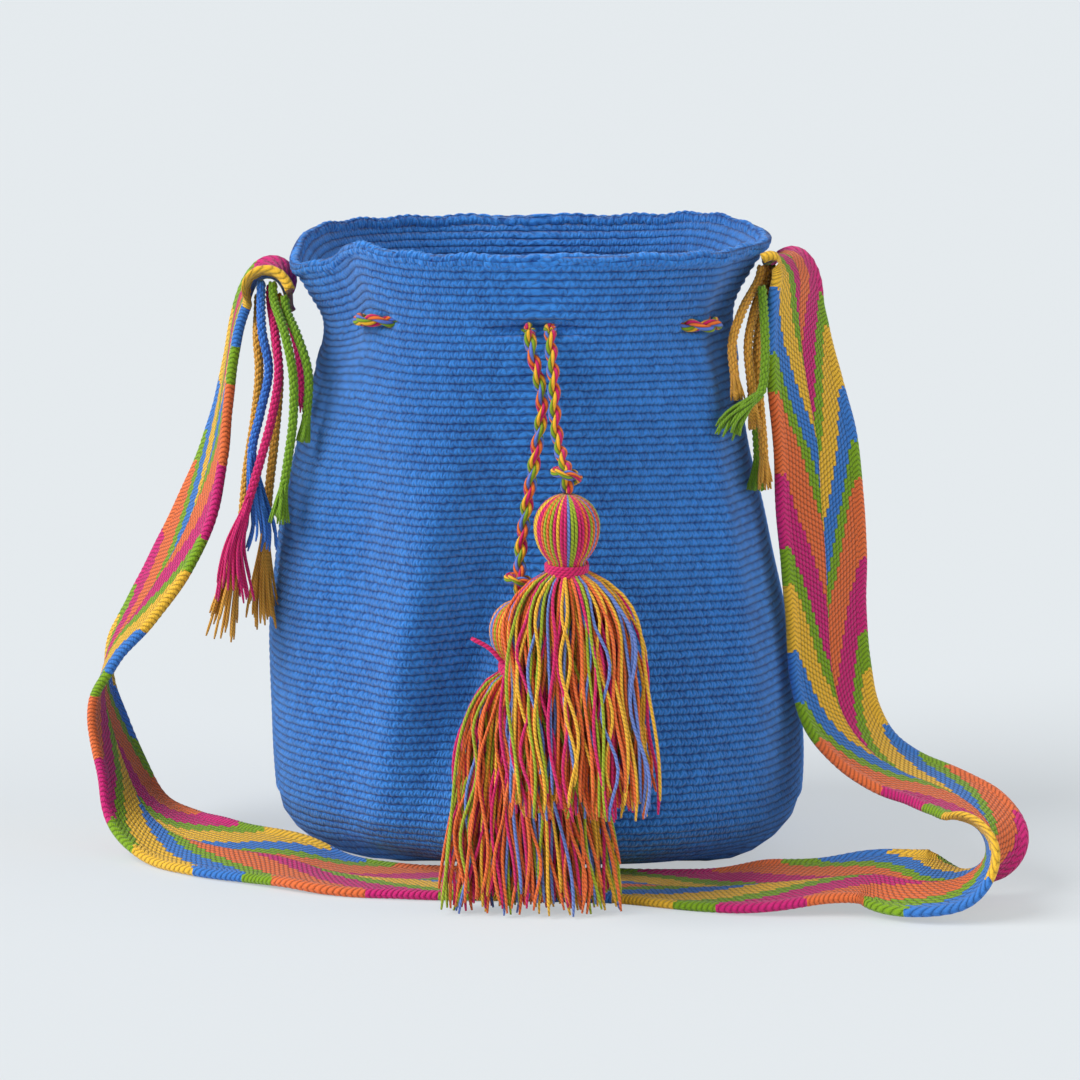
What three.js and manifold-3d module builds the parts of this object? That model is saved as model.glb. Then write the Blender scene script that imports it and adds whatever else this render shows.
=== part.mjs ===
// Crocheted bucket bag: one hollow cotton bag, a woven shoulder strap, a drawstring with two tassels,
// and the twisted yarn ends of the strap. Millimetres, +Z up, the front of the bag faces -Y.
import * as THREE from 'three';
import { mergeVertices } from 'three/addons/utils/BufferGeometryUtils.js';
import Module from 'manifold-3d';

const wasm = await Module();
wasm.setup();

// Bag sizes
const BAG_WIDTH = 254;
const BAG_DEPTH = 200;
const BAG_HEIGHT = 290;
const WALL = 4;
const BASE_EDGE_RADIUS = 25;
const BAG_SEGMENTS = 56;
const WALL_RINGS = 11;
const STRAP_LIFT = 4.5;
const LIFT_START = -50;
const LIFT_FULL = -70;

// The outlines and the routes below are laid out for a bag and a strap of these sizes.
// When the bag's own sizes change, what hangs from its sides or its front moves with the wall.
const BAG = { width: BAG_WIDTH, depth: BAG_DEPTH, height: BAG_HEIGHT };
const LAYOUT = { width: 254, depth: 200, height: 290 };
const LAYOUT_STRAP_THICKNESS = 3;
const LAYOUT_TIE_DIAMETER = 4.6;
const RESTING_LEVEL = 40;
const HANGING_LEVEL = 100;
const SIDE_REACH = 80;

// Outline of the bag at a share of its height: left, right, front and back reach, and squareness.
const OUTLINES = [
  { share: 0.00, left: 122, right: 118, front: 96, back: 98, power: 2.5 },
  { share: 0.10, left: 127, right: 126, front: 98, back: 102, power: 2.5 },
  { share: 0.25, left: 129, right: 124, front: 97, back: 103, power: 2.5 },
  { share: 0.38, left: 128, right: 117, front: 95, back: 102, power: 2.6 },
  { share: 0.52, left: 124, right: 109, front: 92, back: 99, power: 2.7 },
  { share: 0.66, left: 116, right: 101, front: 88, back: 94, power: 2.9 },
  { share: 0.80, left: 108, right: 95, front: 83, back: 88, power: 3.1 },
  { share: 0.89, left: 106, right: 94, front: 80, back: 85, power: 3.1 },
  { share: 0.95, left: 112, right: 101, front: 80, back: 85, power: 2.9 },
  { share: 1.00, left: 119, right: 109, front: 82, back: 87, power: 2.7 },
];

// Soft folds: where they lie round the bag and up it, how far they spread, and how deep they go.
const FOLDS = [
  { turn: 207, share: 0.98, turnSpread: 10, shareSpread: 0.13, depth: -13 },
  { turn: 331, share: 0.98, turnSpread: 11, shareSpread: 0.13, depth: -6 },
  { turn: 257, share: 0.40, turnSpread: 9, shareSpread: 0.15, depth: -11 },
  { turn: 244, share: 0.28, turnSpread: 8, shareSpread: 0.20, depth: 4 },
];

// Rim waves: height gained or lost round the mouth.
const RIM_WAVES = [
  { turn: 188, turnSpread: 16, rise: -11 },
  { turn: 222, turnSpread: 9, rise: 4 },
  { turn: 45, turnSpread: 14, rise: 3 },
];
const RIM_WAVE_FROM = 0.7;

// Drawstring sizes
const LACE_SHARE = 0.885;
const CORD_DIAMETER = 6;
const CORD_CLEARANCE = 0.6;
const LACE_INSIDE = 9;
const LACE_OUTSIDE = 5;
const EYELET_HALF_GAP = 4.6;
const PIVOT_REACH = 4.6;
const END_GAP = 0.6;

// Strap sizes
const STRAP_WIDTH = 48;
const STRAP_THICKNESS = 3;
const STRAP_STEPS = 94;

// Tassel sizes
const UPPER_HEAD_RADIUS = 15;
const LOWER_HEAD_RADIUS = 14;
const NECK_RADIUS = 8.5;
const BINDING_RADIUS = 1.5;
const FIT_GAP = 0.3;
const TIE_DIAMETER = 4.6;
const YARN_DIAMETER = 2.2;
const LOWER_FOOT_WIDTH = 42;
const LOWER_FOOT_DEPTH = 11;
const UPPER_FOOT_WIDTH = 32;
const UPPER_FOOT_DEPTH = 10;

function signedPower(value, power) {
  return Math.sign(value) * Math.pow(Math.abs(value), power);
}

function turnGap(first, second) {
  const gap = ((first - second) % 360 + 540) % 360 - 180;
  return gap;
}

function bell(value, spread) {
  return Math.exp(-0.5 * Math.pow(value / spread, 2));
}

function smooth(value) {
  const held = Math.min(1, Math.max(0, value));
  return held * held * (3 - 2 * held);
}

// Blends one outline value smoothly between the listed heights.
function outlineValue(name, share) {
  let index = 0;
  while (index < OUTLINES.length - 2 && share > OUTLINES[index + 1].share) {
    index += 1;
  }
  const before = OUTLINES[Math.max(0, index - 1)];
  const low = OUTLINES[index];
  const high = OUTLINES[index + 1];
  const after = OUTLINES[Math.min(OUTLINES.length - 1, index + 2)];
  const span = high.share - low.share;
  const step = Math.min(1, Math.max(0, (share - low.share) / span));
  const startSlope = (high[name] - before[name]) / Math.max(span, high.share - before.share) * span;
  const endSlope = (after[name] - low[name]) / Math.max(span, after.share - low.share) * span;
  const squared = step * step;
  const cubed = squared * step;
  return low[name] * (2 * cubed - 3 * squared + 1)
    + startSlope * (cubed - 2 * squared + step)
    + high[name] * (3 * squared - 2 * cubed)
    + endSlope * (cubed - squared);
}

// Outer face of the bag at a turn in degrees and a share of the height, moved out by a distance.
function wallPoint(turn, share, out = 0, size = BAG) {
  const angle = THREE.MathUtils.degToRad(turn);
  const across = Math.cos(angle);
  const along = Math.sin(angle);
  const power = 2 / outlineValue('power', share);
  const reachX = outlineValue(across < 0 ? 'left' : 'right', share) * size.width / LAYOUT.width;
  const reachY = outlineValue(along < 0 ? 'front' : 'back', share) * size.depth / LAYOUT.depth;
  const point = new THREE.Vector2(reachX * signedPower(across, power), reachY * signedPower(along, power));
  let depth = out;
  for (const fold of FOLDS) {
    depth += fold.depth * bell(turnGap(turn, fold.turn), fold.turnSpread)
      * bell(share - fold.share, fold.shareSpread);
  }
  point.setLength(point.length() + depth);
  let height = share * size.height;
  for (const wave of RIM_WAVES) {
    height += wave.rise * bell(turnGap(turn, wave.turn), wave.turnSpread)
      * smooth((share - RIM_WAVE_FROM) / (1 - RIM_WAVE_FROM));
  }
  return new THREE.Vector3(point.x, point.y, height);
}

// Point of the layout, moved with the wall of the bag on its own side.
function layoutPoint([across, along, up]) {
  const turn = across < 0 ? 190 : -20;
  const shift = wallPoint(turn, LACE_SHARE).sub(wallPoint(turn, LACE_SHARE, 0, LAYOUT));
  const sideways = Math.min(1, Math.abs(across) / SIDE_REACH);
  const upward = Math.max(0, Math.min(1, (up - RESTING_LEVEL) / (HANGING_LEVEL - RESTING_LEVEL)));
  return new THREE.Vector3(
    across + shift.x * sideways,
    along * BAG.depth / LAYOUT.depth,
    up + shift.z * upward,
  );
}

// Steps of the bag's section, from the middle of the base, up the outside, over the rim and back down.
function bagSteps() {
  const steps = [];
  for (const spread of [0, 0.4, 0.75]) {
    steps.push({ height: 0, inset: BASE_EDGE_RADIUS, spread });
  }
  for (const bend of [0, 30, 60]) {
    const angle = THREE.MathUtils.degToRad(bend);
    steps.push({
      height: BASE_EDGE_RADIUS * (1 - Math.cos(angle)),
      inset: BASE_EDGE_RADIUS * (1 - Math.sin(angle)),
      spread: 1,
    });
  }
  for (let ring = 0; ring <= WALL_RINGS; ring += 1) {
    const height = BASE_EDGE_RADIUS + (BAG_HEIGHT - BASE_EDGE_RADIUS) * ring / WALL_RINGS;
    steps.push({ height, inset: 0, spread: 1 });
  }
  for (let ring = WALL_RINGS; ring >= 0; ring -= 1) {
    const height = BASE_EDGE_RADIUS + (BAG_HEIGHT - BASE_EDGE_RADIUS) * ring / WALL_RINGS;
    steps.push({ height, inset: WALL, spread: 1 });
  }
  const innerRadius = BASE_EDGE_RADIUS - WALL;
  for (const bend of [60, 30, 0]) {
    const angle = THREE.MathUtils.degToRad(bend);
    steps.push({
      height: BASE_EDGE_RADIUS - innerRadius * Math.cos(angle),
      inset: BASE_EDGE_RADIUS - innerRadius * Math.sin(angle),
      spread: 1,
    });
  }
  for (const spread of [0.75, 0.4, 0]) {
    steps.push({ height: WALL, inset: BASE_EDGE_RADIUS, spread });
  }
  return steps;
}

function bagGeometry() {
  const steps = bagSteps();
  const profile = steps.map((step) => new THREE.Vector2((100 - step.inset) * step.spread, step.height));
  const geometry = new THREE.LatheGeometry(profile, BAG_SEGMENTS);
  const places = geometry.attributes.position;
  for (let index = 0; index < places.count; index += 1) {
    const step = steps[index % steps.length];
    const column = Math.floor(index / steps.length) % BAG_SEGMENTS;
    const turn = column * 360 / BAG_SEGMENTS - 90;
    const place = wallPoint(turn, step.height / BAG_HEIGHT, -step.inset);
    place.x *= step.spread;
    place.y *= step.spread;
    const fade = 1 - smooth(step.height / BASE_EDGE_RADIUS);
    place.z += STRAP_LIFT * smooth((LIFT_START - place.y) / (LIFT_START - LIFT_FULL)) * fade;
    places.setXYZ(index, place.x, place.y, place.z);
  }
  return geometry;
}

function toSolid(geometry) {
  geometry.deleteAttribute('normal');
  geometry.deleteAttribute('uv');
  const joined = mergeVertices(geometry, 0.0001);
  const corners = [];
  const source = joined.index.array;
  for (let start = 0; start < source.length; start += 3) {
    const [first, second, third] = [source[start], source[start + 1], source[start + 2]];
    if (first !== second && second !== third && third !== first) {
      corners.push(first, second, third);
    }
  }
  const mesh = new wasm.Mesh({
    numProp: 3,
    vertProperties: new Float32Array(joined.attributes.position.array),
    triVerts: new Uint32Array(corners),
  });
  return new wasm.Manifold(mesh);
}

function fromSolid(solid) {
  const mesh = solid.getMesh();
  const geometry = new THREE.BufferGeometry();
  geometry.setAttribute('position', new THREE.BufferAttribute(new Float32Array(mesh.vertProperties), 3));
  geometry.setIndex(new THREE.BufferAttribute(new Uint32Array(mesh.triVerts), 1));
  geometry.computeVertexNormals();
  return geometry;
}

// Round cord along a smooth route.
function cordGeometry(route, diameter, steps) {
  const sides = 8;
  const outline = new THREE.Shape();
  for (let side = 0; side < sides; side += 1) {
    const angle = side * 2 * Math.PI / sides;
    const across = Math.cos(angle) * diameter / 2;
    const along = Math.sin(angle) * diameter / 2;
    if (side === 0) {
      outline.moveTo(across, along);
    } else {
      outline.lineTo(across, along);
    }
  }
  const curve = new THREE.CatmullRomCurve3(route, false, 'centripetal');
  return new THREE.ExtrudeGeometry(outline, { steps, bevelEnabled: false, extrudePath: curve });
}

const part = new THREE.Group();
part.name = 'crocheted_bucket_bag';

function addPiece(name, geometry, colour) {
  const material = new THREE.MeshStandardMaterial({ color: colour, roughness: 0.9, metalness: 0 });
  const mesh = new THREE.Mesh(geometry, material);
  mesh.name = name;
  part.add(mesh);
}

// Drawstring: inside the front wall, out over the two front corners, and inside round the back.
// Each step is a turn round the bag, with the cord inside the wall, in the wall or outside it.
const eyelet = wallPoint(270, LACE_SHARE);
const pivot = new THREE.Vector3(eyelet.x, eyelet.y - PIVOT_REACH, eyelet.z);
const LACE_ROUTE = [
  { turn: 252, place: 'in' }, { turn: 243, place: 'in' }, { turn: 236, place: 'in' },
  { turn: 231, place: 'wall' }, { turn: 226, place: 'out' }, { turn: 219, place: 'out' },
  { turn: 212, place: 'wall' }, { turn: 205, place: 'in' }, { turn: 190, place: 'in' },
  { turn: 172, place: 'in' }, { turn: 154, place: 'in' }, { turn: 138, place: 'in' },
  { turn: 126, place: 'in' }, { turn: 112, place: 'in' }, { turn: 98, place: 'in' },
  { turn: 82, place: 'in' }, { turn: 68, place: 'in' }, { turn: 54, place: 'in' },
  { turn: 42, place: 'in' }, { turn: 26, place: 'in' }, { turn: 8, place: 'in' },
  { turn: -10, place: 'in' }, { turn: -24, place: 'in' }, { turn: -32, place: 'wall' },
  { turn: -39, place: 'out' }, { turn: -45, place: 'out' }, { turn: -50, place: 'wall' },
  { turn: -55, place: 'in' }, { turn: -62, place: 'in' }, { turn: -71, place: 'in' },
];
const LACE_OFFSETS = { in: -LACE_INSIDE, wall: -WALL / 2, out: LACE_OUTSIDE };

function laceRoute() {
  const route = [];
  const insideY = eyelet.y + LACE_INSIDE;
  const endY = pivot.y + CORD_DIAMETER / 2 + END_GAP;
  route.push(new THREE.Vector3(-EYELET_HALF_GAP, endY, eyelet.z));
  route.push(new THREE.Vector3(-EYELET_HALF_GAP, eyelet.y + WALL / 2, eyelet.z));
  route.push(new THREE.Vector3(-EYELET_HALF_GAP - 4, insideY, eyelet.z));
  for (const step of LACE_ROUTE) {
    route.push(wallPoint(step.turn, LACE_SHARE, LACE_OFFSETS[step.place]));
  }
  route.push(new THREE.Vector3(EYELET_HALF_GAP + 4, insideY, eyelet.z));
  route.push(new THREE.Vector3(EYELET_HALF_GAP, eyelet.y + WALL / 2, eyelet.z));
  route.push(new THREE.Vector3(EYELET_HALF_GAP, endY, eyelet.z));
  return route;
}

const lacePoints = laceRoute();
const LACE_STEPS = 64;
const holeMaker = toSolid(cordGeometry(lacePoints, CORD_DIAMETER + 2 * CORD_CLEARANCE, LACE_STEPS));
addPiece('bag_body', fromSolid(toSolid(bagGeometry()).subtract(holeMaker)), '#2f6fc4');
addPiece('drawstring_lacing', cordGeometry(lacePoints, CORD_DIAMETER, LACE_STEPS), '#d9763c');

// Strap: front edge and back edge of the band, from its left end over the floor to its right end.
const STRAP_EDGES = [
  [[-111, -37, 258], [-123, 10, 264]],
  [[-116, -33, 269], [-129, 14, 273]],
  [[-125, -29, 273], [-136, 18, 272]],
  [[-133, -26, 267], [-142, 21, 263]],
  [[-139, -25, 255], [-146, 22, 249]],
  [[-143, -25, 236], [-149, 22, 232]],
  [[-146, -25, 212], [-154, 21, 210]],
  [[-148, -26, 188], [-162, 19, 186]],
  [[-153, -27, 160], [-174, 16, 160]],
  [[-163, -28, 138], [-186, 16, 137]],
  [[-180, -27, 115], [-199, 18, 112]],
  [[-200, -25, 93], [-210, 21, 89]],
  [[-213, -23, 73], [-209, 24, 72]],
  [[-213, -25, 53], [-202, 22, 54]],
  [[-206, -31, 33], [-195, 14, 37]],
  [[-195, -43, 13], [-187, 0, 24]],
  [[-180, -61, 4], [-172, -17, 16]],
  [[-155, -83, 2.5], [-147, -39, 14]],
  [[-124, -98, 2.2], [-119, -53, 13]],
  [[-95, -113, 2.2], [-91, -67, 5]],
  [[-60, -120, 2.2], [-58, -73, 2.2]],
  [[-10, -124, 2.2], [-10, -76, 2.2]],
  [[40, -128, 2.2], [45, -81, 2.4]],
  [[70, -139, 2.2], [79, -93, 6]],
  [[98, -146, 3], [105, -101, 13]],
  [[128, -147, 8], [131, -100, 13]],
  [[150, -148, 8], [153, -103, 18]],
  [[170, -159, 4], [173, -116, 22]],
  [[184, -160, 9], [196, -114, 20]],
  [[193, -154, 20], [210, -110, 24]],
  [[195, -143, 30], [214, -99, 34]],
  [[188, -126, 37], [207, -83, 42]],
  [[175, -108, 41], [192, -64, 47]],
  [[156, -92, 44], [176, -50, 52]],
  [[137, -77, 53], [165, -39, 60]],
  [[123, -64, 67], [159, -33, 74]],
  [[117, -55, 88], [156, -28, 92]],
  [[115, -52, 115], [154, -24, 117]],
  [[112, -51, 146], [154, -27, 143]],
  [[109, -51, 172], [152, -29, 170]],
  [[108, -51, 199], [149, -26, 196]],
  [[105, -51, 224], [143, -21, 219]],
  [[104, -50, 247], [137, -15, 241]],
  [[105, -48, 264], [134, -9, 258]],
  [[109, -45, 277], [131, -3, 272]],
  [[104, -43, 285], [124, 1, 283]],
  [[95, -44, 281], [113, 2, 279]],
];

const strapMiddles = [];
const strapWidths = [];
for (const [front, back] of STRAP_EDGES) {
  const frontPoint = layoutPoint(front);
  const backPoint = layoutPoint(back);
  strapMiddles.push(frontPoint.clone().add(backPoint).multiplyScalar(0.5));
  strapWidths.push(backPoint.clone().sub(frontPoint).normalize());
}
const strapLine = new THREE.CatmullRomCurve3(strapMiddles, false, 'centripetal');
const strapTurn = new THREE.CatmullRomCurve3(strapWidths, false, 'catmullrom', 0.5);

// Point of the strap at a share of its length, a share of its width and a distance above its middle layer.
function strapPoint(share, widthShare, above) {
  const tangent = strapLine.getTangent(share);
  const across = strapTurn.getPoint(share);
  across.addScaledVector(tangent, -across.dot(tangent)).normalize();
  const facing = tangent.clone().cross(across);
  const place = strapLine.getPoint(share);
  place.addScaledVector(across, widthShare * STRAP_WIDTH);
  place.addScaledVector(facing, above);
  return place;
}

function strapGeometry() {
  const geometry = new THREE.BoxGeometry(1, 1, 1, 1, 1, STRAP_STEPS);
  const places = geometry.attributes.position;
  for (let index = 0; index < places.count; index += 1) {
    const share = Math.min(1, Math.max(0, places.getZ(index) + 0.5));
    const place = strapPoint(share, places.getX(index), places.getY(index) * STRAP_THICKNESS);
    places.setXYZ(index, place.x, place.y, place.z);
  }
  return geometry;
}

addPiece('strap_band', strapGeometry(), '#d4682f');

// Tassel: a hank of yarn folded over, with a round head, a bound neck and a skirt that spreads out.
// The skirt leans to the foot point and spreads to the foot width and depth.
function hankGeometry(head, headRadius, foot, footWidth, footDepth) {
  const skirt = head.z - headRadius * 1.55 - foot.z;
  const profile = [];
  const kinds = [];
  function addStep(radius, drop, share) {
    profile.push(new THREE.Vector2(radius, -drop));
    kinds.push(share);
  }
  addStep(0, headRadius * 1.55 + skirt, 1);
  addStep(0.98, headRadius * 1.55 + skirt, 1);
  for (const share of [0.8, 0.55, 0.3, 0.12]) {
    addStep(0.98, headRadius * 1.55 + skirt * share, share);
  }
  addStep(NECK_RADIUS, headRadius * 1.55, 0);
  addStep(NECK_RADIUS, headRadius * 1.25, 0);
  for (const bend of [-40, -10, 20, 50, 75]) {
    const angle = THREE.MathUtils.degToRad(bend);
    addStep(headRadius * Math.cos(angle), -headRadius * Math.sin(angle), 0);
  }
  addStep(0, -headRadius, 0);
  const geometry = new THREE.LatheGeometry(profile, 20);
  const places = geometry.attributes.position;
  for (let index = 0; index < places.count; index += 1) {
    const share = kinds[index % kinds.length];
    const across = places.getX(index);
    const along = -places.getZ(index);
    const drop = places.getY(index);
    let width = 1;
    let depth = 1;
    if (share > 0) {
      const spread = Math.pow(share, 0.4);
      width = NECK_RADIUS + (footWidth - NECK_RADIUS) * spread;
      depth = NECK_RADIUS + (footDepth - NECK_RADIUS) * spread;
    }
    const lean = Math.pow(share, 0.85);
    places.setXYZ(
      index,
      head.x + across * width + (foot.x - head.x) * lean,
      head.y + along * depth + (foot.y - head.y) * lean,
      head.z + drop,
    );
  }
  return geometry;
}

function bindingGeometry(head, headRadius) {
  const ring = new THREE.TorusGeometry(NECK_RADIUS + FIT_GAP + BINDING_RADIUS, BINDING_RADIUS, 8, 20);
  ring.translate(head.x, head.y, head.z - headRadius * 1.4);
  return ring;
}

function routeFrom(points) {
  return points.map((point) => layoutPoint(point));
}

// Last two points of a cord that comes down straight on the top of a tassel's head.
function headTop(head, headRadius) {
  const above = new THREE.Vector3(head.x, head.y, head.z + headRadius + 9);
  const top = new THREE.Vector3(head.x, head.y, head.z + headRadius + FIT_GAP);
  return [above, top];
}

// Lower tassel, on the cord end that runs behind the other one.
const lowerHead = layoutPoint([-9, -110, 124]);
const lowerFoot = layoutPoint([-4, -140, 2.5]);
const lowerHank = hankGeometry(lowerHead, LOWER_HEAD_RADIUS, lowerFoot, LOWER_FOOT_WIDTH, LOWER_FOOT_DEPTH);
const lowerCordRoute = [
  new THREE.Vector3(-EYELET_HALF_GAP, pivot.y, pivot.z),
  ...routeFrom([
    [-4, -87.7, 249],
    [-1, -91, 238],
    [1, -93, 224],
    [-1, -95, 208],
    [-4, -97, 190],
    [-7, -100, 172],
    [-9, -104, 156],
  ]),
  ...headTop(lowerHead, LOWER_HEAD_RADIUS),
];
addPiece('drawstring_lower_end', cordGeometry(lowerCordRoute, CORD_DIAMETER, 26), '#d9763c');
addPiece('lower_tassel_hank', lowerHank, '#e0683a');
addPiece('lower_tassel_binding', bindingGeometry(lowerHead, LOWER_HEAD_RADIUS), '#c22f74');

// Yarn tail that lies over the bound neck, from the middle of the lower head.
const YARN_TAIL_STEPS = [
  [-14, -11, -6],
  [-8, -12.5, -12],
  [-1, -13.2, -18],
  [7, -13, -20.5],
  [15, -11, -23],
];
const yarnTailRoute = YARN_TAIL_STEPS.map((step) => new THREE.Vector3(...step).add(lowerHead));
addPiece('lower_tassel_yarn_tail', cordGeometry(yarnTailRoute, YARN_DIAMETER, 10), '#d02a80');

// Upper tassel, in front of the lower one.
const upperHead = layoutPoint([12, -118, 173]);
const upperFoot = layoutPoint([19, -157, 52]);
const upperHank = hankGeometry(upperHead, UPPER_HEAD_RADIUS, upperFoot, UPPER_FOOT_WIDTH, UPPER_FOOT_DEPTH);
const upperCordRoute = [
  new THREE.Vector3(EYELET_HALF_GAP, pivot.y, pivot.z),
  ...routeFrom([
    [5, -88.7, 249],
    [6, -95, 238],
    [6.5, -98, 227],
    [7, -101, 216],
    [9, -106, 206],
  ]),
  ...headTop(upperHead, UPPER_HEAD_RADIUS),
];
addPiece('drawstring_upper_end', cordGeometry(upperCordRoute, CORD_DIAMETER, 22), '#d9763c');
addPiece('upper_tassel_hank', upperHank, '#e0883a');
addPiece('upper_tassel_binding', bindingGeometry(upperHead, UPPER_HEAD_RADIUS), '#d0603f');

// Twisted yarn ends of the strap, hanging from the under side of its left end.
const LEFT_TIES = {
  left_tie_green_long: [
    [-124.5, -25, 271.3], [-124, -27, 264], [-118, -44, 250], [-114, -51, 232], [-114, -52, 212],
    [-117, -52, 190], [-120, -52, 171], [-121, -52, 160],
  ],
  left_tie_green_short: [
    [-119, -27, 265], [-118, -30, 259], [-112, -43, 248], [-107, -49, 232], [-108, -50, 212],
    [-110, -50, 198],
  ],
  left_tie_pink_short: [
    [-119.5, -19, 261.6], [-119, -21, 256], [-114, -32, 247], [-111, -37, 232], [-111, -38, 212],
  ],
  left_tie_pink_long: [
    [-126, -17, 268.6], [-126, -19, 263], [-123, -36, 249], [-121, -44, 232], [-124, -46, 212],
    [-130, -48, 190], [-136, -50, 170], [-142, -51, 150], [-142, -51, 124],
  ],
  left_tie_blue: [
    [-130, -23, 271.5], [-130, -25, 265], [-129, -36, 250], [-126, -38, 232], [-130, -40, 212],
    [-134, -42, 194], [-132, -44, 174], [-130, -45, 158], [-132, -45, 146],
  ],
  left_tie_gold_long: [
    [-132, -13, 263.6], [-132, -15, 258], [-132, -26, 246], [-131, -30, 230], [-133, -31, 210],
    [-137, -35, 184], [-140, -39, 156], [-146, -42, 126], [-150, -42, 104],
  ],
  left_tie_gold_short: [
    [-123, -9, 263.7], [-123, -11, 258], [-124, -20, 246], [-122, -25, 228], [-124, -29, 200],
    [-127, -32, 174], [-129, -34, 150], [-130, -34, 126], [-129, -34, 107],
  ],
};

// Twisted yarn ends of the strap, hanging from the under side of its right end.
const RIGHT_TIES = {
  right_tie_gold_front: [
    [102.5, -37.5, 280.4], [101.5, -39, 275], [93, -54, 262], [88, -63, 248], [89, -65, 234], [91, -66, 220],
  ],
  right_tie_gold_second: [
    [105, -31.5, 279.5], [104, -33, 273], [98.5, -49, 260], [95.5, -59, 246], [97, -62, 228], [99, -62, 206],
  ],
  right_tie_gold_third: [
    [106.5, -26, 278.8], [106, -28, 272], [102, -43, 258], [100, -52, 242], [101, -56, 222],
    [103, -56, 200], [104, -57, 178],
  ],
  right_tie_gold_back: [
    [110.8, -14, 277.5], [110, -16, 271], [106, -28, 256], [101, -36, 238], [99, -39, 220], [100, -40, 202],
  ],
  right_tie_green_front: [
    [102.2, -46.6, 272], [102.6, -49.5, 266], [103, -57, 256], [103, -64, 240], [101, -68, 226],
    [95, -71, 221], [88, -73, 214], [84, -74, 205],
  ],
  right_tie_green_back: [
    [108.5, -20, 278.4], [108, -22, 271], [105, -36, 256], [103, -44, 238], [100, -49, 214],
    [101, -49, 192], [100, -49, 174],
  ],
};
const TIE_COLOURS = { green: '#5f8f1f', pink: '#b8245f', blue: '#2f6fc4', gold: '#b9812a' };

const tieDrop = (STRAP_THICKNESS - LAYOUT_STRAP_THICKNESS + TIE_DIAMETER - LAYOUT_TIE_DIAMETER) / 2;

for (const ties of [LEFT_TIES, RIGHT_TIES]) {
  for (const [name, points] of Object.entries(ties)) {
    const colour = TIE_COLOURS[name.split('_')[2]];
    const route = routeFrom(points);
    route[0].z -= tieDrop;
    addPiece(name, cordGeometry(route, TIE_DIAMETER, 14), colour);
  }
}

export default part;
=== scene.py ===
import math
import random

import bmesh
import bpy
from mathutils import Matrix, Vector, noise


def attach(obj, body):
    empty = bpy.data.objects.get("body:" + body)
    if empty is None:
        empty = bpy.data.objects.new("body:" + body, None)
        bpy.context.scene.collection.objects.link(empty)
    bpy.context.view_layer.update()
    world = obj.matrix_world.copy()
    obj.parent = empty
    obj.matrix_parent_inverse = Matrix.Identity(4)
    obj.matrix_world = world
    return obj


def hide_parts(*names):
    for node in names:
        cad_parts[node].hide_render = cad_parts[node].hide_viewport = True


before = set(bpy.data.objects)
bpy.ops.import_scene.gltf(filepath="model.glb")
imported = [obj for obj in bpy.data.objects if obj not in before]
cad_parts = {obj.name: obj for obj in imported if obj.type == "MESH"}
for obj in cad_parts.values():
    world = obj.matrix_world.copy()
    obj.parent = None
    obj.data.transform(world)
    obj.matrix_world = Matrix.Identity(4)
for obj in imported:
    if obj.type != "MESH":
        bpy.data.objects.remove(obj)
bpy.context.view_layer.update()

# Camera: stands in front of the bag, a little above its mouth, and looks gently down at it.
# A long lens keeps the bag's sides nearly upright.
camera_data = bpy.data.cameras.new("front_camera")
camera_data.lens = 135
camera_data.sensor_width = 36
camera = bpy.data.objects.new("front_camera", camera_data)
camera.location = (0.0, -1.9, 0.51)
camera.rotation_euler = (math.radians(90 - 10.9), 0.0, 0.0)
bpy.context.scene.collection.objects.link(camera)
bpy.context.scene.camera = camera

# Bag wall: one round of crocheted cotton cord, worked upwards in rows of single stitches.
# The wall is soft, so it bulges low down, dents under the tassels and flares at its mouth.
BAG_HEIGHT = 0.290
WALL_THICKNESS = 0.004
BASE_EDGE_RADIUS = 0.025
STITCHES_ROUND = 240
ROWS_UP = 73
ROW_DEPTH = 0.0010
OUTLINES = [
    (0.00, 0.122, 0.118, 0.096, 0.098, 2.5),
    (0.10, 0.127, 0.126, 0.098, 0.102, 2.5),
    (0.25, 0.129, 0.124, 0.097, 0.103, 2.5),
    (0.38, 0.128, 0.117, 0.095, 0.102, 2.6),
    (0.52, 0.124, 0.109, 0.092, 0.099, 2.7),
    (0.66, 0.115, 0.099, 0.088, 0.094, 2.9),
    (0.80, 0.105, 0.093, 0.083, 0.088, 3.1),
    (0.89, 0.102, 0.091, 0.080, 0.085, 3.1),
    (0.95, 0.110, 0.099, 0.080, 0.085, 2.9),
    (1.00, 0.119, 0.109, 0.082, 0.087, 2.7),
]
# Each fold: turn round the bag, share of its height, spreads of both, depth, and lean with height.
FOLDS = [
    (207, 0.98, 10, 0.13, -0.013, 0),
    (331, 0.98, 11, 0.13, -0.006, 0),
    (257, 0.38, 7.5, 0.15, -0.018, 34),
    (243, 0.34, 5, 0.20, 0.006, 38),
    (226, 0.48, 8, 0.13, -0.006, 20),
    (288, 0.60, 17, 0.18, -0.010, 0),
    (317, 0.55, 5, 0.30, 0.004, 0),
    (288, 0.14, 18, 0.10, 0.003, 0),
    (222, 0.70, 8, 0.12, -0.003, 0),
    (100, 0.45, 16, 0.20, -0.004, 0),
    (60, 0.62, 12, 0.16, 0.003, 0),
    (150, 0.30, 14, 0.15, 0.003, 0),
]
RIM_WAVES = [(188, 16, -0.011), (222, 9, 0.004), (45, 14, 0.003)]
EYELETS = [(270, 5, 0.0045), (231, 3.4, 0.003), (212, 3.4, 0.003), (-32, 3.4, 0.003), (-50, 3.4, 0.003)]
LACE_SHARE = 0.885


def smooth_step(value):
    held = min(1.0, max(0.0, value))
    return held * held * (3 - 2 * held)


def bell(value, spread):
    return math.exp(-0.5 * (value / spread) ** 2)


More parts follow.
